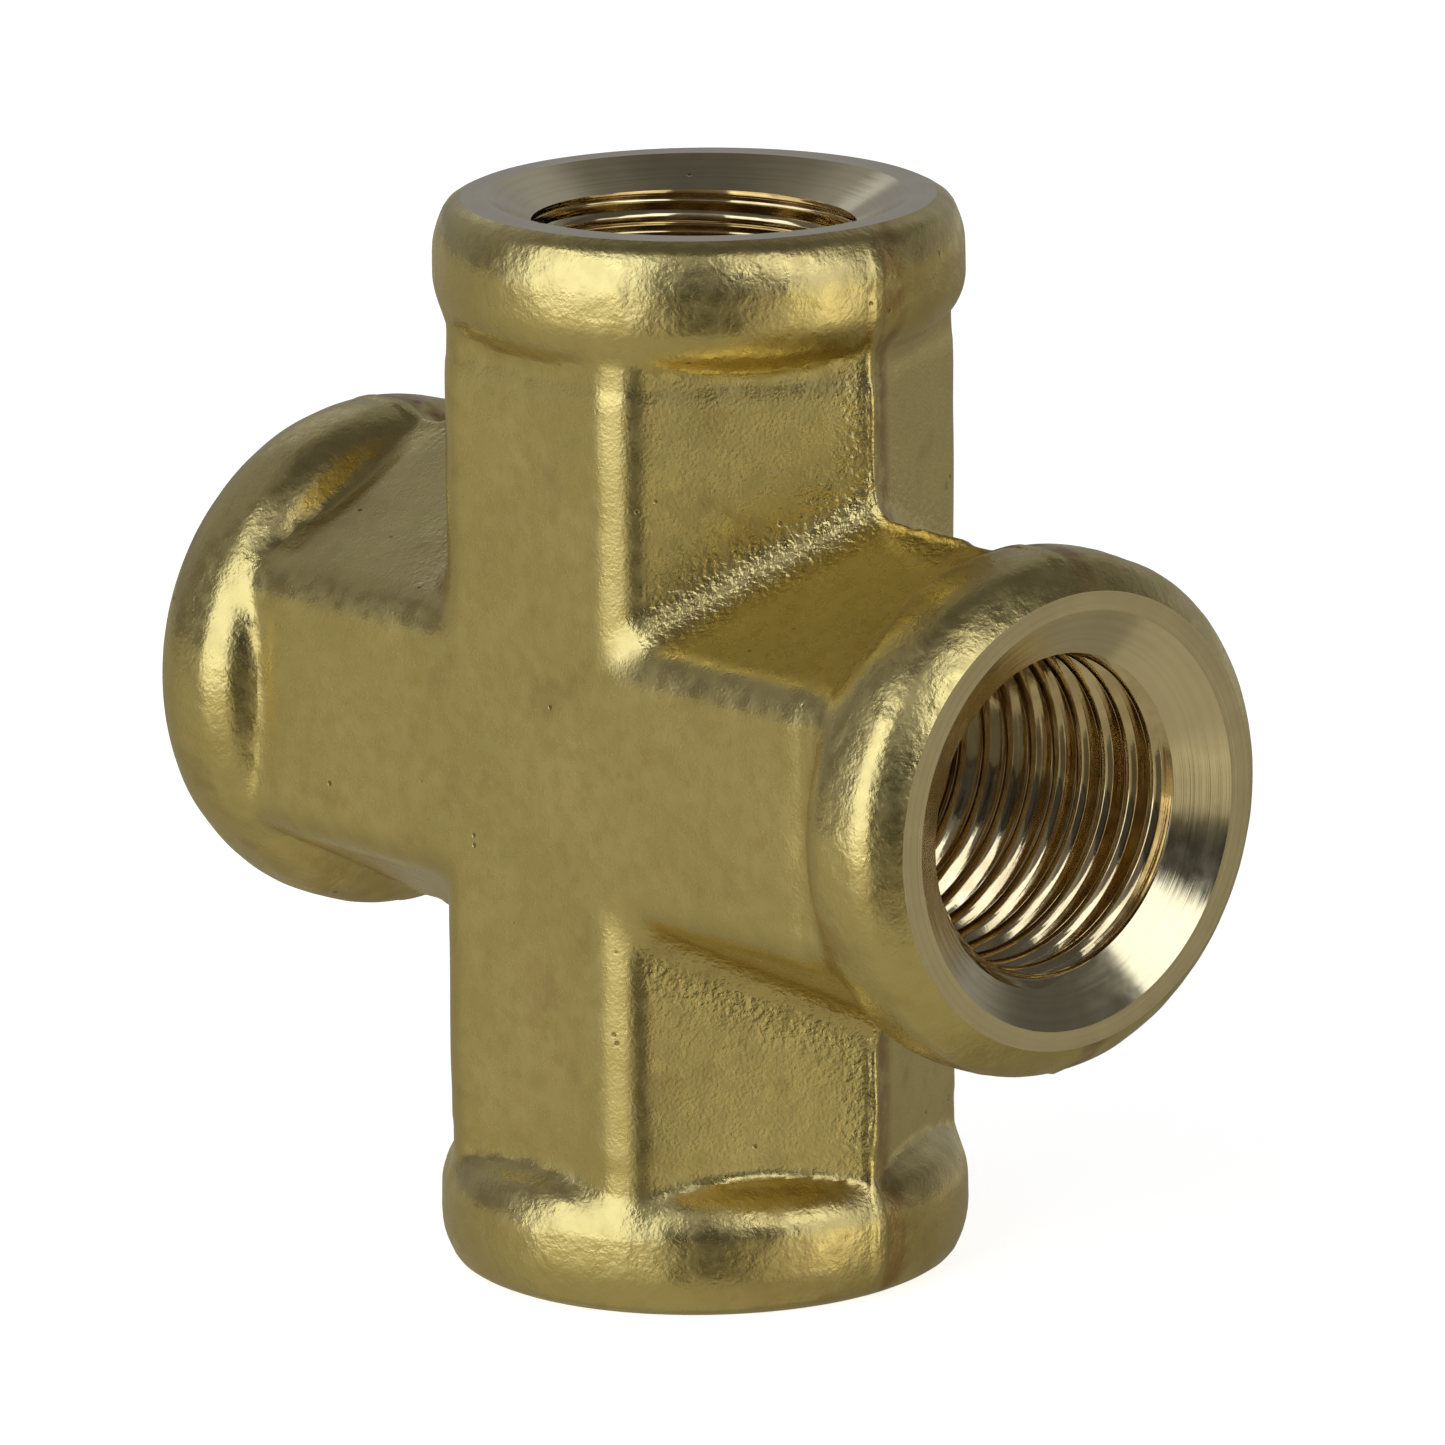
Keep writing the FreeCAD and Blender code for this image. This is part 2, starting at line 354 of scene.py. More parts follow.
# --- grids ------------------------------------------------------------------
def outer_angles():
    """Column angles, crowded at the parting plane and at the ridges."""
    ridge = math.degrees(math.atan2(FLAT_Y, FLAT_HALF_WIDTH))
    fine = np.linspace(0.0, 90.0, ANGLE_SAMPLES)
    density = 1.0 + PARTING_CROWDING * np.exp(-(fine / PARTING_SPREAD) ** 2)
    density += RIDGE_CROWDING * np.exp(-((fine - ridge) / RIDGE_SPREAD) ** 2)
    grown = np.concatenate([[0.0], np.cumsum((density[1:] + density[:-1]) * 0.5)])
    grown /= grown[-1]
    quarter = np.interp(np.linspace(0.0, 1.0, OUTER_QUARTER + 1), grown, fine)
    half = np.concatenate([quarter, 180.0 - quarter[-2::-1]])
    whole = np.concatenate([half, 360.0 - half[-2:0:-1]])
    return np.radians(whole)


def inner_angles():
    """Even column angles for everything inside the port."""
    return np.arange(INNER_COLUMNS) * (2.0 * math.pi / INNER_COLUMNS)


def arm_to_world(local, quarter):
    """Turn arm coordinates (across, y, along) about Y by quarter turns."""
    cos = (1, 0, -1, 0)[quarter]
    sin = (0, 1, 0, -1)[quarter]
    x = local[..., 0] * cos + local[..., 2] * sin
    z = local[..., 2] * cos - local[..., 0] * sin
    return np.stack([x, local[..., 1], z], axis=-1)


def local_points(angle, distance, radius):
    """Arm coordinates of points given round the arm's axis."""
    across = radius * np.cos(angle)
    y = radius * np.sin(angle)
    return np.stack([across, y, np.broadcast_to(distance, across.shape)], axis=-1)


def solve_radius(angle, distance_of, quarter):
    """Radius where the skin is crossed, by halving.

    distance_of gives the distance along the arm for a radius.
    """
    low = np.full(angle.shape, SOLVE_LOW_R)
    high = np.full(angle.shape, SOLVE_HIGH_R)
    for _ in range(SOLVE_STEPS):
        middle = (low + high) * 0.5
        distance = distance_of(middle)
        world = arm_to_world(local_points(angle, distance, middle), quarter)
        outside = forged_distance(world, distance, middle) > 0.0
        high = np.where(outside, middle, high)
        low = np.where(outside, low, middle)
    return (low + high) * 0.5


def outer_grid(quarter):
    """Points of the forged skin, rows from the mitre to the face edge."""
    angle = outer_angles()
    lateral = np.abs(np.cos(angle))
    mitre_r = solve_radius(angle, lambda radius: radius * lateral, quarter)
    mitre = mitre_r * lateral
    arm_end = CENTRE_TO_FACE - TAIL_SPAN_END
    steps = np.arange(1, ARM_ROWS + 1) / ARM_ROWS
    steps = (1.0 - ARM_ROW_CROWDING) * steps + ARM_ROW_CROWDING * steps ** 2
    distances = [mitre + (arm_end - mitre) * step for step in steps]
    nose = NOSE_BACK * np.linspace(0.0, 1.0, NOSE_ROWS + 1) ** NOSE_ROW_CROWDING
    crown = np.linspace(NOSE_BACK, CROWN_BACK, CROWN_ROWS + 1)
    tail = np.linspace(CROWN_BACK, TAIL_SPAN_END, TAIL_ROWS + 1)
    backs = np.concatenate([nose[:-1], crown[:-1], tail[:-1]])
    distances += [np.full(angle.shape, CENTRE_TO_FACE - back) for back in backs[::-1]]
    rows = [arm_to_world(local_points(angle, mitre, mitre_r), quarter)]
    for distance in distances:
        radius = solve_radius(angle, lambda _, row=distance: row, quarter)
        rows.append(arm_to_world(local_points(angle, distance, radius), quarter))
    return np.array(rows)


def inner_core_grid(quarter):
    """Points of the plain passage, rows from the mitre to the drill's shoulder."""
    angle = inner_angles()
    mitre = CORE_R * np.abs(np.cos(angle))
    end = shoulder_start()
    rows = []
    for step in range(CORE_ROWS + 1):
        distance = mitre + (end - mitre) * (step / CORE_ROWS)
        radius = np.full(angle.shape, CORE_R)
        rows.append(arm_to_world(local_points(angle, distance, radius), quarter))
    return np.array(rows)


def thread_row_distances():
    """Distance of each helical row in each column, before any clamping."""
    angle = inner_angles()
    first_row = -EARLY_TURNS * THREAD_ROWS_PER_TURN
    last_turn = int(math.ceil((CENTRE_TO_FACE - THREAD_FROM) / PITCH)) + 1
    rows = range(first_row, last_turn * THREAD_ROWS_PER_TURN)
    start = THREAD_FROM + PITCH * angle / (2.0 * math.pi)
    return np.array([start + PITCH * row / THREAD_ROWS_PER_TURN for row in rows])


class MeshParts:
    """Vertices and faces gathered before one mesh is made."""

    def __init__(self):
        self.points = []
        self.faces = []
        self.slots = []
        self.count = 0

    def add_points(self, points):
        """Keep the points, and give their numbers in the same arrangement."""
        flat = points.reshape(-1, 3)
        start = self.count
        self.points.append(flat)
        self.count += len(flat)
        return np.arange(start, self.count).reshape(points.shape[:-1])

    def add_face(self, corners, slot):
        self.faces.append(corners)
        self.slots.append(slot)

    def add_rows(self, rows, slot, outwards):
        """Quads between neighbouring rows of one ring of columns."""
        columns = rows.shape[1]
        for low, high in zip(rows[:-1], rows[1:]):
            for column in range(columns):
                after = (column + 1) % columns
                quad = (low[column], low[after], high[after], high[column])
                self.add_face(quad if outwards else quad[::-1], slot)


def add_inner(parts, quarter):
    """Passage, drill's shoulder, thread and countersink of one port."""
    core = parts.add_points(inner_core_grid(quarter))
    parts.add_rows(core, SLOT_CORE, False)
    angle = inner_angles()
    mouth = mouth_distance(angle)
    clamped = np.clip(thread_row_distances(), TAP_DRILL_FROM, mouth)
    rows = []
    for distance in clamped:
        radius = bore_radius(angle, distance)
        rows.append(arm_to_world(local_points(angle, distance, radius), quarter))
    thread = parts.add_points(np.array(rows))
    last = len(thread) - 1
    for row in range(last):
        for column in range(INNER_COLUMNS):
            after = column + 1
            shift = 0
            if after == INNER_COLUMNS:
                after = 0
                shift = THREAD_ROWS_PER_TURN
            if row + 1 + shift > last:
                continue
            quad = (
                thread[row, column],
                thread[row + 1, column],
                thread[row + 1 + shift, after],
                thread[row + shift, after],
            )
            parts.add_face(quad, SLOT_THREAD)
    shoulder_ring = np.stack([core[-1], thread[0]])
    parts.add_rows(shoulder_ring, SLOT_CORE, False)
    rows = []
    for step in np.linspace(0.0, 1.0, COUNTERSINK_ROWS + 1):
        distance = mouth + (CENTRE_TO_FACE - mouth) * step
        radius = CHAMFER_R - (CENTRE_TO_FACE - distance) * CHAMFER_SLOPE
        rows.append(arm_to_world(local_points(angle, distance, radius), quarter))
    parts.add_rows(parts.add_points(np.array(rows)), SLOT_MACHINED, False)


def add_face_ring(parts, quarter, edge_row):
    """Flat machined ring from the countersink to the forged nose.

    The outside has two columns for each one inside.
    """
    inner = local_points(inner_angles(), CENTRE_TO_FACE, CHAMFER_R)
    inner = parts.add_points(arm_to_world(inner, quarter))
    lip = local_points(outer_angles(), CENTRE_TO_FACE, CHAMFER_R + LIP_WIDTH)
    lip = parts.add_points(arm_to_world(lip, quarter))
    for column in range(INNER_COLUMNS):
        after = (column + 1) % INNER_COLUMNS
        first = 2 * column
        second = first + 1
        third = (first + 2) % OUTER_COLUMNS
        parts.add_face((inner[column], lip[first], lip[second]), SLOT_MACHINED)
        parts.add_face((inner[column], lip[second], inner[after]), SLOT_MACHINED)
        parts.add_face((inner[after], lip[second], lip[third]), SLOT_MACHINED)
    for column in range(OUTER_COLUMNS):
        after = (column + 1) % OUTER_COLUMNS
        quad = (lip[column], edge_row[column], edge_row[after], lip[after])
        parts.add_face(quad, SLOT_MACHINED)


def skin_masks(points):
    """Tarnish, hammering and sparkle at each vertex, from its place."""
    x = np.abs(points[:, 0])
    y = np.abs(points[:, 1])
    z = np.abs(points[:, 2])
    back = CENTRE_TO_FACE - np.maximum(x, z)
    patchy = 0.5 + 0.5 * smooth_noise(points, PATCH_SIZE, seed=21)
    streaky = 0.5 + 0.5 * smooth_noise(points, STREAK_SIZE, seed=22)
    junction = np.exp(-((back - JUNCTION_BACK) / JUNCTION_WIDTH) ** 2)
    slanted = smooth_step(FLAT_Y - SLANT_CLEAR, FLAT_Y - SLANT_FULL, y)
    valley = np.exp(-((x - z) / VALLEY_WIDTH) ** 2) * slanted
    beside_flash = smooth_step(*FLASH_STAIN_FROM, points[:, 1])
    beside_flash = beside_flash * smooth_step(*FLASH_STAIN_TO, points[:, 1])
    collar = smooth_step(JUNCTION_BACK + BEATEN_FROM, JUNCTION_BACK - BEATEN_TO, back)
    to_parting = smooth_step(COLLAR_STAIN_EDGE_Y, COLLAR_STAIN_FULL_Y, y)
    stains = (
        JUNCTION_STAIN * junction * patchy,
        VALLEY_STAIN * valley * streaky,
        beside_flash * (FLASH_STAIN + FLASH_STAIN_PATCHY * patchy),
        COLLAR_STAIN * collar * patchy * to_parting,
    )
    tarnish = np.maximum.reduce(stains)
    hammered = np.maximum(collar, BEATEN_VALLEY * valley)
    wide_valley = np.exp(-((x - z) / SPARKLE_WIDTH) ** 2) * slanted
    near_flash = smooth_step(ROUGH_FLASH_FROM, ROUGH_FLASH_TO, y)
    near_flash = near_flash * (1.0 - ROUGH_FLASH_LESS_ON_COLLAR * collar)
    rough = (wide_valley, ROUGH_NEAR_FLASH * near_flash, ROUGH_COLLAR * collar)
    sparkle = np.maximum.reduce(rough)
    return {"tarnish": tarnish, "hammered": hammered, "sparkle": sparkle}


def turned_radius(points):
    """Distance from the axis of the arm that each vertex belongs to, in mm."""
    upright = np.abs(points[:, 2]) > np.abs(points[:, 0])
    across = np.where(upright, points[:, 0], points[:, 2])
    return np.hypot(across, points[:, 1])


def add_mask(mesh, name, values):
    """Store one number for each vertex, for the materials to read."""
    layer = mesh.attributes.new(name, "FLOAT", "POINT")
    layer.data.foreach_set("value", np.asarray(values, dtype=np.float32))


def body_object():
    """The whole fitting as one closed mesh."""
    parts = MeshParts()
    for quarter in range(4):
        skin = parts.add_points(outer_grid(quarter))
        parts.add_rows(skin, SLOT_FORGED, True)
        add_face_ring(parts, quarter, skin[-1])
        add_inner(parts, quarter)
    points = np.concatenate(parts.points) * MM
    mesh = bpy.data.meshes.new("cross_skin")
    faces = [tuple(int(corner) for corner in face) for face in parts.faces]
    mesh.from_pydata(points.tolist(), [], faces)
    mesh.polygons.foreach_set("material_index", np.array(parts.slots, dtype=np.int32))
    mesh.polygons.foreach_set("use_smooth", np.ones(len(parts.faces), dtype=bool))
    close_mesh(mesh)
    places = np.empty(len(mesh.vertices) * 3)
    mesh.vertices.foreach_get("co", places)
    welded = places.reshape(-1, 3) / MM
    for name, values in skin_masks(welded).items():
        add_mask(mesh, name, values)
    add_mask(mesh, "turned_radius", turned_radius(welded))
    piece = bpy.data.objects.new("cross_skin", mesh)
    bpy.context.scene.collection.objects.link(piece)
    return piece


def close_mesh(mesh):
    """Weld the grids together, drop collapsed faces and mark the tool edges."""
    work = bmesh.new()
    work.from_mesh(mesh)
    bmesh.ops.remove_doubles(work, verts=work.verts, dist=MERGE_MM * MM)
    bmesh.ops.dissolve_degenerate(work, dist=MERGE_MM * MM * 0.5, edges=work.edges)
    for edge in work.edges:
        if len(edge.link_faces) != 2:
            continue
        one, two = edge.link_faces
        different = one.material_index != two.material_index
        threaded = one.material_index == SLOT_THREAD and not different
        turn = 0.0 if threaded else one.normal.angle(two.normal, 0.0)
        if different or turn > SHARP_ANGLE:
            edge.smooth = False
    work.to_mesh(mesh)
    work.free()
    mesh.update()


# --- materials --------------------------------------------------------------
MIX_COLOURS = (6, 7)         # the Mix node's colour sockets, by number
MIX_RESULT = 2
SPECK_CORE = 0.5             # a speck is solid this far out from its middle
RING_DETAIL = 3.0
OVERALL = (0.3, 0.7)         # range of noise that a change all over is spread on
CLOUDS = (0.35, 0.65)        # a narrower range gives patches with clearer edges


class Recipe:
    """One node material, with short names for the nodes the brasses share."""

    def __init__(self, name):
        self.material = bpy.data.materials.new(name)
        self.material.use_nodes = True
        self.tree = self.material.node_tree
        self.tree.nodes.clear()
        output = self.tree.nodes.new("ShaderNodeOutputMaterial")
        self.shader = self.tree.nodes.new("ShaderNodeBsdfPrincipled")
        self.tree.links.new(self.shader.outputs["BSDF"], output.inputs["Surface"])
        self.place = self.tree.nodes.new("ShaderNodeTexCoord").outputs["Object"]

    def feed(self, socket, value):
        """Link another node's output to the socket, or set its value."""
        if isinstance(value, bpy.types.NodeSocket):
            self.tree.links.new(value, socket)
        else:
            socket.default_value = value

    def noise(self, feature, detail=2.0, seed=0.0):
        """Noise from about 0 to 1 whose features are this many mm across."""
        node = self.tree.nodes.new("ShaderNodeTexNoise")
        node.noise_dimensions = "4D"
        self.feed(node.inputs["Vector"], self.place)
        node.inputs["W"].default_value = seed
        node.inputs["Scale"].default_value = 1.0 / (feature * MM)
        node.inputs["Detail"].default_value = detail
        return node.outputs["Fac"]

    def specks(self, spacing, size, seed=0.0):
        """1 inside small round spots, one or none in each cell of spacing mm."""
        node = self.tree.nodes.new("ShaderNodeTexVoronoi")
        node.voronoi_dimensions = "4D"
        self.feed(node.inputs["Vector"], self.place)
        node.inputs["W"].default_value = seed
        node.inputs["Scale"].default_value = 1.0 / (spacing * MM)
        edge = size / spacing
        return self.remap(node.outputs["Distance"], edge, edge * SPECK_CORE)

    def patches(self, pattern, to_low=0.0, to_high=1.0):
        """Noise stepped from to_low to to_high, from one row of its numbers."""
        feature, detail, seed, low, high = pattern
        noise = self.noise(feature, detail, seed)
        return self.remap(noise, low, high, to_low, to_high)

    def scattered(self, pattern, spacing, size, seed):
        """Specks, only where the pattern has a patch."""
        where = self.patches(pattern)
        return self.math("MULTIPLY", self.specks(spacing, size, seed), where)

    def rings(self, feature, seed):
        """Noise that varies only with the distance from the arm's axis."""
        node = self.tree.nodes.new("ShaderNodeTexNoise")
        node.noise_dimensions = "1D"
        radius = self.mask("turned_radius")
        self.feed(node.inputs["W"], self.math("ADD", radius, seed))
        node.inputs["Scale"].default_value = 1.0 / feature
        node.inputs["Detail"].default_value = RING_DETAIL
        return node.outputs["Fac"]

    def mask(self, name):
        """Number stored for each vertex under this name."""
        node = self.tree.nodes.new("ShaderNodeAttribute")
        node.attribute_name = name
        return node.outputs["Fac"]

    def math(self, operation, one, two):
        node = self.tree.nodes.new("ShaderNodeMath")
        node.operation = operation
        self.feed(node.inputs[0], one)
        self.feed(node.inputs[1], two)
        return node.outputs["Value"]

    def remap(self, value, low, high, to_low=0.0, to_high=1.0):
        """Smooth step from to_low to to_high between low and high."""
        node = self.tree.nodes.new("ShaderNodeMapRange")
        node.interpolation_type = "SMOOTHSTEP"
        self.feed(node.inputs["Value"], value)
        node.inputs["From Min"].default_value = low
        node.inputs["From Max"].default_value = high
        node.inputs["To Min"].default_value = to_low
        node.inputs["To Max"].default_value = to_high
        return node.outputs["Result"]

    def blend(self, factor, one, two):
        """Colour one where factor is 0, colour two where it is 1."""
        node = self.tree.nodes.new("ShaderNodeMix")
        node.data_type = "RGBA"
        self.feed(node.inputs["Factor"], factor)
        for number, value in zip(MIX_COLOURS, (one, two)):
            if not isinstance(value, bpy.types.NodeSocket):
                value = (*value, 1.0)
            self.feed(node.inputs[number], value)
        return node.outputs[MIX_RESULT]

    def bump(self, height, depth, strength=1.0, under=None):
        """Bump of the given depth in mm over the normal under it."""
        node = self.tree.nodes.new("ShaderNodeBump")
        self.feed(node.inputs["Height"], height)
        self.feed(node.inputs["Strength"], strength)
        node.inputs["Distance"].default_value = depth * MM
        if under is not None:
            self.feed(node.inputs["Normal"], under)
        return node.outputs["Normal"]

    def bumps(self, table, strengths):
        """Bumps of noise one over the other, from a table of their sizes."""
        normal = None
        for feature, depth, detail, seed, strength in table:
            height = self.noise(feature, detail, seed)
            normal = self.bump(height, depth, strengths[strength], normal)
        return normal

    def finish(self, colour, roughness, normal):
        """Connect the metal's colour, roughness and normal."""
        self.feed(self.shader.inputs["Base Color"], colour)
        self.feed(self.shader.inputs["Roughness"], roughness)
        self.feed(self.shader.inputs["Normal"], normal)
        self.shader.inputs["Metallic"].default_value = 1.0
        return self.material


FORGED_GOLD = (0.76, 0.61, 0.245)
FORGED_OLIVE = (0.65, 0.53, 0.20)
FORGED_BROWN = (0.40, 0.25, 0.085)
PIT_BROWN = (0.12, 0.07, 0.03)
FLECK_RED = (0.30, 0.10, 0.04)
CUT_GOLD = (0.82, 0.70, 0.42)
CUT_BEIGE = (0.72, 0.61, 0.38)
THREAD_GOLD = (0.76, 0.62, 0.36)
CORE_BROWN = (0.42, 0.29, 0.14)

# Each pattern is the size of its noise in mm, its detail and its seed, and the
# two values of the noise that its patches fade in between.
FORGED_CLOUDS = (3.2, 3.0, 1.0, *CLOUDS)
FORGED_MOTTLING = (0.55, 4.0, 12.0, 0.42, 0.68)
FORGED_BLOTCHES = (0.8, 4.0, 2.0, 0.25, 0.60)
FAINT_STAINS = (1.5, 5.0, 3.0, 0.56, 0.72)
PITTED = (1.8, 2.0, 4.0, 0.50, 0.60)
FLECKED = (2.0, 1.0, 6.0, 0.60, 0.66)
FORGED_POLISH = (0.5, 3.0, 8.0, *OVERALL)
CLOUDY_OLIVE = 0.5
MOTTLED_OLIVE = 0.55
FAINT_STAIN = 0.30
FORGED_ROUGHNESS = (0.22, 0.34)
STAIN_ROUGHNESS = 0.14
PIT_SPACING = 0.60
PIT_SIZE = 0.095
PIT_DARKNESS = 0.65
PIT_DEPTH = 0.015
FLECK_SPACING = 2.2
FLECK_SIZE = 0.28
FLECK_REDNESS = 0.8
HAMMERING_ELSEWHERE = 0.22
FORGED_BUMPS = (             # size, depth, detail, seed and what scales it
    (0.60, 0.028, 2.0, 9.0, "hammered"),
    (0.24, 0.012, 2.0, 10.0, "hammered"),
    (0.20, 0.085, 2.0, 13.0, "sparkle"),
    (0.10, 0.011, 2.0, 11.0, "everywhere"),
)

MACHINED_CLOUDS = (2.0, 3.0, 31.0, *CLOUDS)
NICKED = (2.2, 1.0, 32.0, 0.50, 0.58)
MACHINED_POLISH = (0.6, 3.0, 34.0, *OVERALL)
MACHINED_ROUGHNESS = (0.11, 0.19)
CLOUDY_BEIGE = 0.6
RINGED_BEIGE = 0.4
RING_EDGES = (0.4, 0.65)     # the noise between which a ring's colour changes
COARSE_RING = 0.16
COARSE_RING_DEPTH = 0.0035
FINE_RING = 0.035
FINE_RING_DEPTH = 0.0012
NICK_SPACING = 0.8
NICK_SIZE = 0.10
NICK_DEPTH = 0.02

THREAD_CLOUDS = (0.9, 3.0, 41.0, *CLOUDS)
THREAD_POLISH = (0.5, 3.0, 42.0, *OVERALL)
THREAD_ROUGHNESS = (0.06, 0.13)
THREAD_DIRT = 0.45
THREAD_RING = 0.12
THREAD_RING_DEPTH = 0.002
CHATTER = 0.10
CHATTER_DEPTH = 0.0012

CORE_BLOTCHES = (1.2, 4.0, 51.0, *CLOUDS)
CORE_POLISH = (0.5, 3.0, 52.0, *OVERALL)
CORE_ROUGHNESS = (0.25, 0.40)
CORE_LUMP = 0.3
CORE_LUMP_DEPTH = 0.01


def forged_brass():
    """Tumbled skin of the forging: satin, hammered on the collars."""
    r = Recipe("forged_brass")
    tarnish = r.mask("tarnish")
    hammered = r.mask("hammered")
    cloudy = r.patches(FORGED_CLOUDS)
    cloudy = r.math("MULTIPLY", cloudy, CLOUDY_OLIVE)
    colour = r.blend(cloudy, FORGED_GOLD, FORGED_OLIVE)
    mottled = r.patches(FORGED_MOTTLING, to_high=MOTTLED_OLIVE)
    colour = r.blend(mottled, colour, FORGED_OLIVE)
    blotch = r.patches(FORGED_BLOTCHES)
    stained = r.math("MULTIPLY", tarnish, blotch)
    faint = r.patches(FAINT_STAINS, to_high=FAINT_STAIN)
    stained = r.math("MAXIMUM", stained, faint)
    colour = r.blend(stained, colour, FORGED_BROWN)
    pits = r.scattered(PITTED, PIT_SPACING, PIT_SIZE, seed=5.0)
    colour = r.blend(r.math("MULTIPLY", pits, PIT_DARKNESS), colour, PIT_BROWN)
    flecks = r.scattered(FLECKED, FLECK_SPACING, FLECK_SIZE, seed=7.0)
    colour = r.blend(r.math("MULTIPLY", flecks, FLECK_REDNESS), colour, FLECK_RED)
    roughness = r.patches(FORGED_POLISH, *FORGED_ROUGHNESS)
    roughened = r.math("MULTIPLY", stained, STAIN_ROUGHNESS)
    roughness = r.math("ADD", roughness, roughened)
    strengths = {
        "hammered": r.remap(hammered, 0.0, 1.0, HAMMERING_ELSEWHERE, 1.0),
        "sparkle": r.mask("sparkle"),
        "everywhere": 1.0,
    }
    normal = r.bumps(FORGED_BUMPS, strengths)
    normal = r.bump(r.math("SUBTRACT", 1.0, pits), PIT_DEPTH, 1.0, normal)
    return r.finish(colour, roughness, normal)


def machined_brass():
    """Turned face and countersink, with the tool's rings in them."""
    r = Recipe("machined_brass")
    coarse = r.rings(COARSE_RING, seed=3.0)
    fine = r.rings(FINE_RING, seed=9.0)
    tone = r.math("MULTIPLY", r.patches(MACHINED_CLOUDS), CLOUDY_BEIGE)
    ringed = r.remap(coarse, *RING_EDGES, to_high=RINGED_BEIGE)
    colour = r.blend(r.math("ADD", tone, ringed), CUT_GOLD, CUT_BEIGE)
    nicks = r.scattered(NICKED, NICK_SPACING, NICK_SIZE, seed=33.0)
    colour = r.blend(nicks, colour, PIT_BROWN)
    roughness = r.patches(MACHINED_POLISH, *MACHINED_ROUGHNESS)
    normal = r.bump(coarse, COARSE_RING_DEPTH)
    normal = r.bump(fine, FINE_RING_DEPTH, 1.0, normal)
    normal = r.bump(r.math("SUBTRACT", 1.0, nicks), NICK_DEPTH, 1.0, normal)
    return r.finish(colour, roughness, normal)


def thread_brass():
    """Tapped thread: bright flanks with chatter along them."""
    r = Recipe("thread_brass")
    dirt = r.math("MULTIPLY", r.patches(THREAD_CLOUDS), THREAD_DIRT)
    colour = r.blend(dirt, THREAD_GOLD, CORE_BROWN)
    roughness = r.patches(THREAD_POLISH, *THREAD_ROUGHNESS)
    normal = r.bump(r.rings(THREAD_RING, seed=5.0), THREAD_RING_DEPTH)
    chatter = r.noise(CHATTER, detail=2.0, seed=43.0)
    normal = r.bump(chatter, CHATTER_DEPTH, 1.0, normal)
    return r.finish(colour, roughness, normal)


def core_brass():
    """Drilled passage past the threads, darker and duller."""
    r = Recipe("core_brass")
    colour = r.blend(r.patches(CORE_BLOTCHES), CORE_BROWN, FORGED_BROWN)
    roughness = r.patches(CORE_POLISH, *CORE_ROUGHNESS)
    normal = r.bump(r.noise(CORE_LUMP, detail=3.0, seed=53.0), CORE_LUMP_DEPTH)
    return r.finish(colour, roughness, normal)


body = body_object()
for make in (forged_brass, machined_brass, thread_brass, core_brass):
    body.data.materials.append(make())
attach(body, "root")
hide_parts("cross_body")


# --- stage ------------------------------------------------------------------
FLOOR_Z = -CENTRE_TO_FACE * MM
FLOOR_HALF = 1.5             # metres
FLOOR_WHITE = (0.92, 0.90, 0.84, 1.0)
FLOOR_ROUGHNESS = 0.9
FLOOR_GLOW = 0.76
WHITE = (1.0, 1.0, 1.0, 1.0)
DAYLIGHT = (0.92, 1.0, 1.15)
TABLE = (0.375, 0.358, 0.285)
ROOM = (0.155, 0.155, 0.165)
TABLE_EDGE = (-0.06, -0.02)  # heights, from -1 to 1, where the table ends
ZENITH_EDGE = (0.84, 0.94)   # and where the darker ceiling starts
ZENITH_KEEP = 0.60

# Patches of the studio, in degrees: azimuth, half width, low, high and soft
# edge. The last number is how bright it is, or how much of the light it keeps.
FAR_WALLS = (
    (140, 50, 0, 40, 16, 0.12),
    (98, 16, 8, 40, 10, 0.06),
    (-45, 25, 42, 60, 8, 0.14),
)
DIMMED = (
    (95, 45, -72, -14, 12, 0.64),
    (180, 18, -70, -3, 20, 0.78),
    (52, 13, -40, -6, 6, 0.95),
    (-34, 14, -30, -5, 4, 0.30),
    (60, 36, 20, 60, 10, 0.60),
)
WINDOWS = (
    (-92, 27, -5, 38, 5, 1.35),
    (-115, 9, 41, 48, 3, 1.60),
    (-78, 14, 38, 47, 4, 1.10),
    (-6, 12, 41, 53, 3, 1.35),
    (152, 8, 24, 32, 4, 0.30),
    (1, 19, 16.5, 40, 1.5, 1.55),
    (19, 19, -4, 15, 3, 0.75),
    (29, 9, 15, 24, 3, 0.65),
)
LIT_TABLE = (
    (-90, 24, -24, -6, 8, 0.60),
    (5, 20, -24, -6, 8, 0.45),
    (20, 9, -20, -6, 4, 2.20),
)
CAMERA_SIDE = (
    (-15, 11, -5, 15, 1.5, 0.20),
    (-42, 16, -6, 18, 3, 0.35),
)


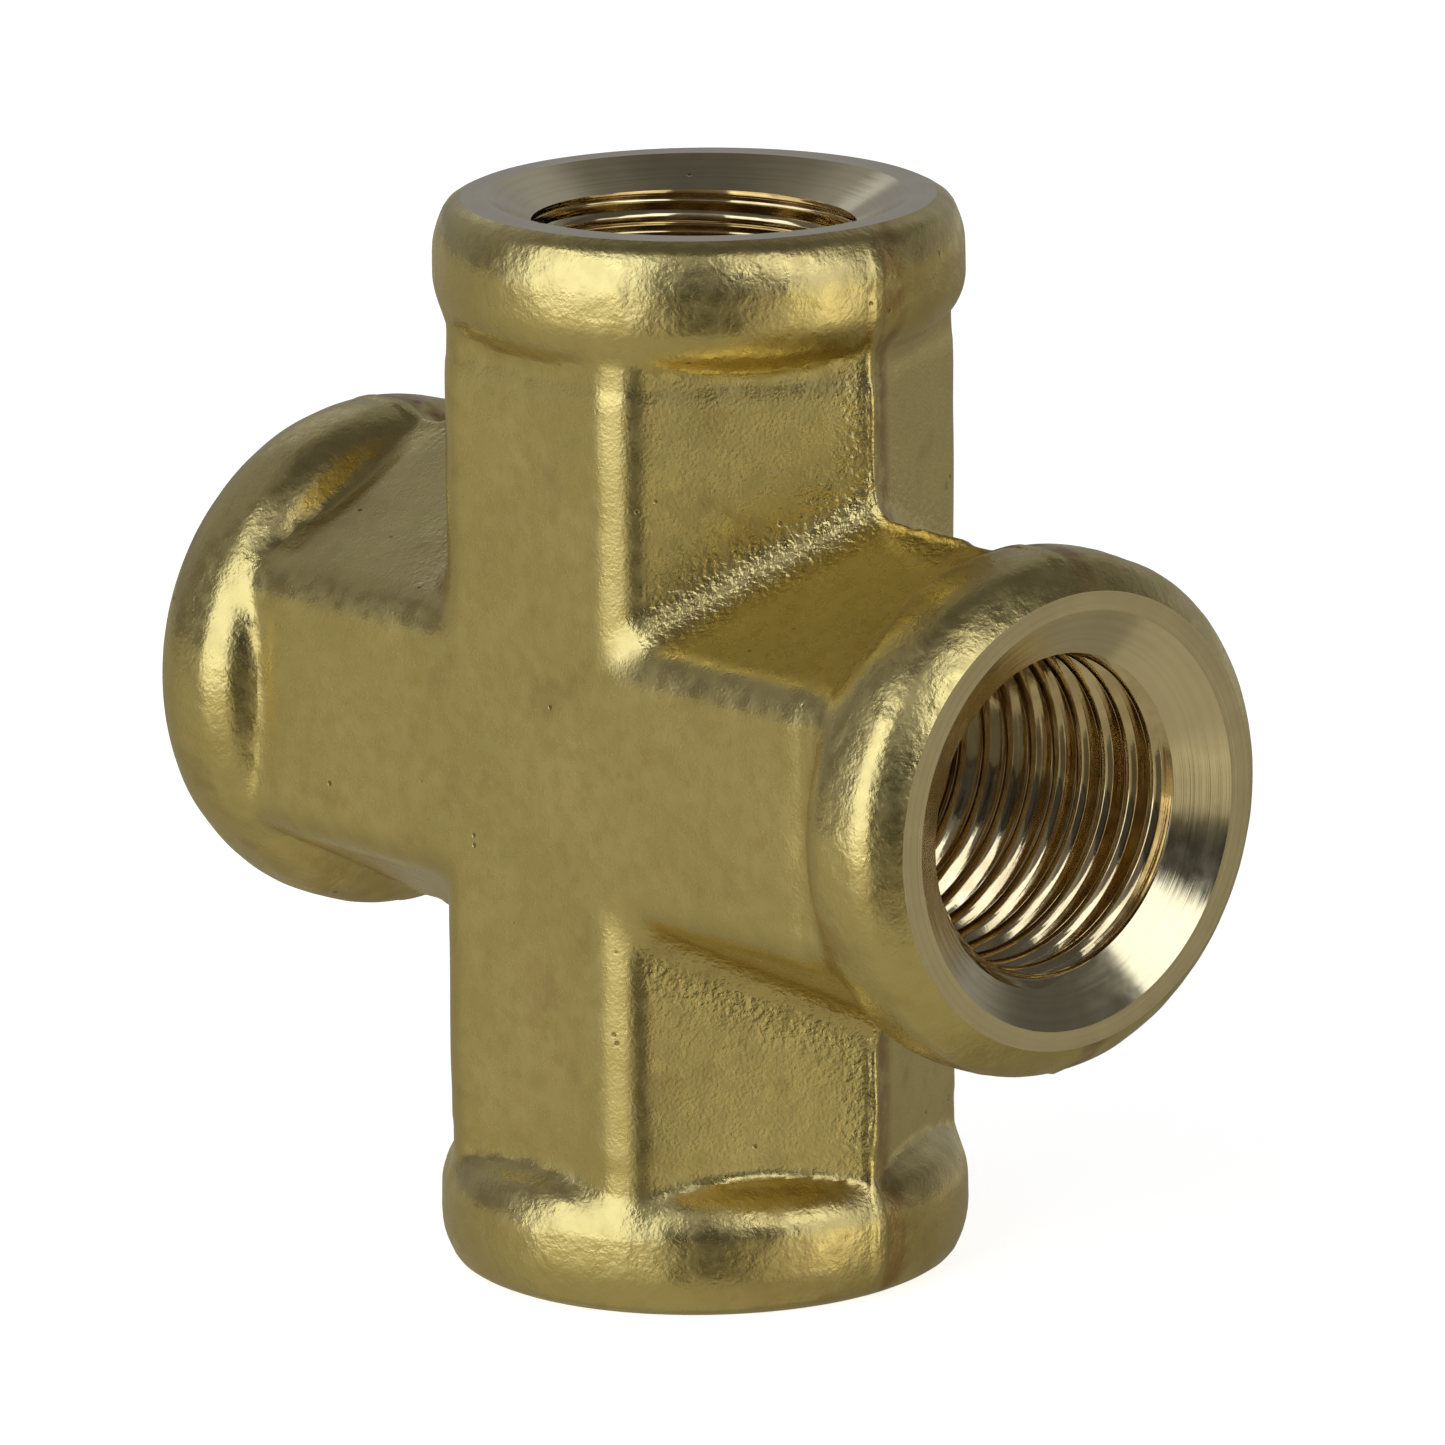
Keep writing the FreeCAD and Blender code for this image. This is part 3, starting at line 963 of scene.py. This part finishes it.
def floor():
    """Plain white floor. The brass reflects the studio's dim lower half."""
    corners = [
        (-FLOOR_HALF, -FLOOR_HALF, FLOOR_Z),
        (FLOOR_HALF, -FLOOR_HALF, FLOOR_Z),
        (FLOOR_HALF, FLOOR_HALF, FLOOR_Z),
        (-FLOOR_HALF, FLOOR_HALF, FLOOR_Z),
    ]
    mesh = bpy.data.meshes.new("floor")
    mesh.from_pydata(corners, [], [(0, 1, 2, 3)])
    sheet = bpy.data.objects.new("floor", mesh)
    bpy.context.scene.collection.objects.link(sheet)
    material = bpy.data.materials.new("floor_white")
    material.use_nodes = True
    shader = material.node_tree.nodes["Principled BSDF"]
    shader.inputs["Base Color"].default_value = FLOOR_WHITE
    shader.inputs["Roughness"].default_value = FLOOR_ROUGHNESS
    shader.inputs["Specular IOR Level"].default_value = 0.0
    shader.inputs["Emission Color"].default_value = WHITE
    shader.inputs["Emission Strength"].default_value = FLOOR_GLOW
    sheet.data.materials.append(material)
    sheet.visible_glossy = False


class Studio:
    """World of soft panels far away, over a dim table."""

    def __init__(self):
        world = bpy.data.worlds.new("studio")
        bpy.context.scene.world = world
        world.use_nodes = True
        self.tree = world.node_tree
        self.shade_node = self.tree.nodes["Background"]
        self.direction = self.tree.nodes.new("ShaderNodeTexCoord").outputs["Generated"]
        split = self.tree.nodes.new("ShaderNodeSeparateXYZ")
        self.tree.links.new(self.direction, split.inputs["Vector"])
        self.height = split.outputs["Z"]
        self.light = None

    def math(self, operation, one, two=0.0):
        """One Math node on two numbers or outputs."""
        node = self.tree.nodes.new("ShaderNodeMath")
        node.operation = operation
        for socket, value in zip(node.inputs, (one, two)):
            if isinstance(value, bpy.types.NodeSocket):
                self.tree.links.new(value, socket)
            else:
                socket.default_value = value
        return node.outputs["Value"]

    def along(self, towards):
        """How far the direction looked in points the given way, -1 to 1."""
        node = self.tree.nodes.new("ShaderNodeVectorMath")
        node.operation = "DOT_PRODUCT"
        self.tree.links.new(self.direction, node.inputs[0])
        node.inputs[1].default_value = towards
        return node.outputs["Value"]

    def scaled(self, vector, amount):
        """A colour times a number that varies over the studio."""
        node = self.tree.nodes.new("ShaderNodeVectorMath")
        node.operation = "SCALE"
        if isinstance(vector, bpy.types.NodeSocket):
            self.tree.links.new(vector, node.inputs[0])
        else:
            node.inputs[0].default_value = vector
        self.tree.links.new(amount, node.inputs["Scale"])
        return node.outputs["Vector"]

    def step(self, value, low, high, to_low=0.0, to_high=1.0):
        """Smooth step from to_low to to_high between low and high."""
        node = self.tree.nodes.new("ShaderNodeMapRange")
        node.interpolation_type = "SMOOTHSTEP"
        self.tree.links.new(value, node.inputs["Value"])
        node.inputs["From Min"].default_value = low
        node.inputs["From Max"].default_value = high
        node.inputs["To Min"].default_value = to_low
        node.inputs["To Max"].default_value = to_high
        return node.outputs["Result"]

    def panel(self, azimuth, half_width, low, high, edge):
        """1 inside a patch of sky given in degrees, 0 past its soft edge."""
        turn = math.radians(azimuth)
        ahead = self.along((math.cos(turn), math.sin(turn), 0.0))
        aside = self.along((-math.sin(turn), math.cos(turn), 0.0))
        angle = self.math("ABSOLUTE", self.math("ARCTAN2", aside, ahead))
        outer = math.radians(half_width + edge)
        wide = self.step(angle, outer, math.radians(half_width))
        floor_side = (math.sin(math.radians(low - edge)), math.sin(math.radians(low)))
        sky_side = (math.sin(math.radians(high + edge)), math.sin(math.radians(high)))
        above = self.step(self.height, *floor_side)
        below = self.step(self.height, *sky_side)
        return self.math("MULTIPLY", wide, self.math("MULTIPLY", above, below))

    def add(self, mask, colour):
        """Add light of this colour where the mask is 1."""
        light = self.scaled(colour, mask)
        if self.light is None:
            self.light = light
            return
        node = self.tree.nodes.new("ShaderNodeVectorMath")
        node.operation = "ADD"
        self.tree.links.new(self.light, node.inputs[0])
        self.tree.links.new(light, node.inputs[1])
        self.light = node.outputs["Vector"]

    def dim(self, mask, keep):
        """Multiply what is there by keep where the mask is 1."""
        self.light = self.scaled(self.light, self.step(mask, 0.0, 1.0, 1.0, keep))

    def finish(self):
        """White behind everything the camera sees, the panels for all else."""
        path = self.tree.nodes.new("ShaderNodeLightPath")
        pick = self.tree.nodes.new("ShaderNodeMix")
        pick.data_type = "RGBA"
        self.tree.links.new(path.outputs["Is Camera Ray"], pick.inputs["Factor"])
        studio_side, camera_side = (pick.inputs[number] for number in MIX_COLOURS)
        self.tree.links.new(self.light, studio_side)
        camera_side.default_value = WHITE
        self.tree.links.new(pick.outputs[MIX_RESULT], self.shade_node.inputs["Color"])


def tint(colour, strength):
    return tuple(channel * strength for channel in colour)


def studio_light():
    """A window on either side of the camera, which itself stands in the dark."""
    studio = Studio()
    below, above = TABLE_EDGE
    studio.add(studio.step(studio.height, above, below), TABLE)
    studio.add(studio.step(studio.height, below, above), ROOM)
    for *patch, strength in FAR_WALLS:
        studio.add(studio.panel(*patch), tint(DAYLIGHT, strength))
    for *patch, keep in DIMMED:
        studio.dim(studio.panel(*patch), keep)
    studio.dim(studio.step(studio.height, *ZENITH_EDGE), ZENITH_KEEP)
    for *patch, strength in WINDOWS:
        studio.add(studio.panel(*patch), tint(DAYLIGHT, strength))
    for *patch, strength in LIT_TABLE:
        studio.add(studio.panel(*patch), tint(TABLE, strength))
    for *patch, keep in CAMERA_SIDE:
        studio.dim(studio.panel(*patch), keep)
    studio.finish()


CAMERA_AZIMUTH = 47.7
CAMERA_ELEVATION = 13.54
CAMERA_ROLL = -0.36
CAMERA_DISTANCE = 386.3 * MM
CAMERA_RIGHT = 0.57 * MM
CAMERA_UP = 0.12 * MM
CAMERA_LENS = 348.8          # millimetres on a sensor of the width below
SENSOR = 36.0
CLIP_NEAR = 0.01             # metres
CLIP_FAR = 20.0


def camera():
    """Camera at the photograph's angle, aimed near the fitting's centre."""
    azimuth = math.radians(CAMERA_AZIMUTH)
    elevation = math.radians(CAMERA_ELEVATION)
    roll = math.radians(CAMERA_ROLL)
    back = Vector((
        math.sin(azimuth) * math.cos(elevation),
        -math.cos(azimuth) * math.cos(elevation),
        math.sin(elevation),
    ))
    right = Vector((math.cos(azimuth), math.sin(azimuth), 0.0))
    up = back.cross(right)
    place = back * CAMERA_DISTANCE + right * CAMERA_RIGHT + up * CAMERA_UP
    side = right * math.cos(roll) + up * math.sin(roll)
    top = up * math.cos(roll) - right * math.sin(roll)
    turn = Matrix((side, top, back)).transposed().to_4x4()
    lens = bpy.data.cameras.new("camera")
    lens.lens = CAMERA_LENS
    lens.sensor_width = SENSOR
    lens.clip_start = CLIP_NEAR
    lens.clip_end = CLIP_FAR
    viewer = bpy.data.objects.new("camera", lens)
    viewer.matrix_world = Matrix.Translation(place) @ turn
    bpy.context.scene.collection.objects.link(viewer)
    bpy.context.scene.camera = viewer


floor()
studio_light()
camera()
bpy.context.scene.view_settings.view_transform = "Standard"
